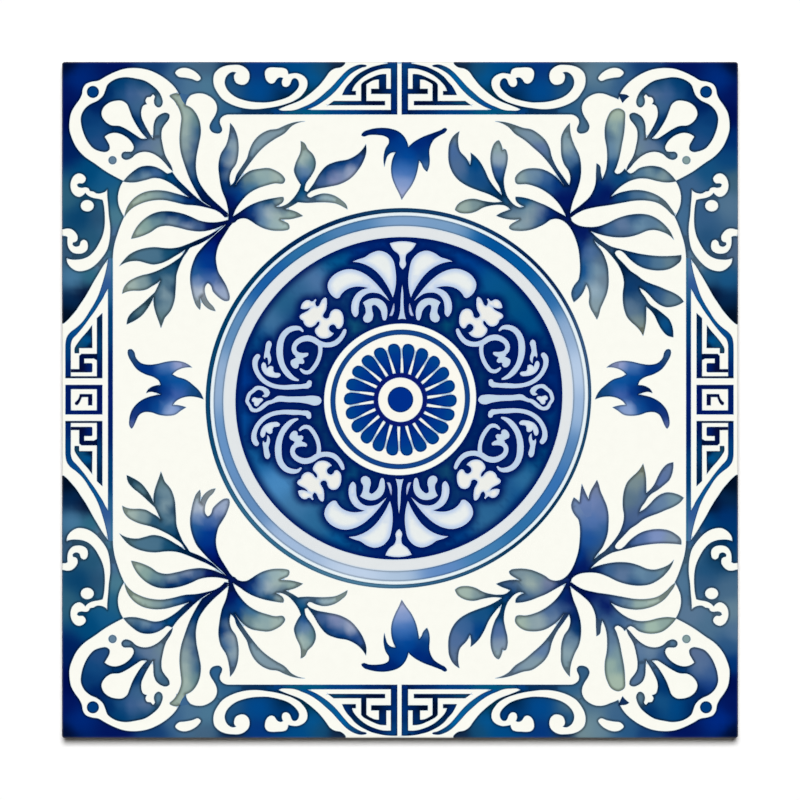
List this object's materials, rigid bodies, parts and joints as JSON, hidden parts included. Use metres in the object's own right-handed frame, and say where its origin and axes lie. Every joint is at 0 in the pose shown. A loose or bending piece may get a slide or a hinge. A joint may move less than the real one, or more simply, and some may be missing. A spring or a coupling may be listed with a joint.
{
  "type": "decorative tile",
  "caption": "Square glazed ceramic wall tile with rounded arris, drafted edge and keyed back, printed in blue on white with a rosette medallion, leaf sprays and a fret border.",
  "frame": {"origin": "middle of the back, on the plane of its ribs", "axes": "+Z out of the glazed face, +X to the right and +Y up in the picture"},
  "size_m": [0.1524, 0.1524, 0.0064],
  "materials": {
    "bisque": "fired unglazed body",
    "printed_glaze": "ivory glaze with a print in cobalt blue"
  },
  "bodies": {
    "root": {"tile": "bisque"}
  },
  "joints": []
}
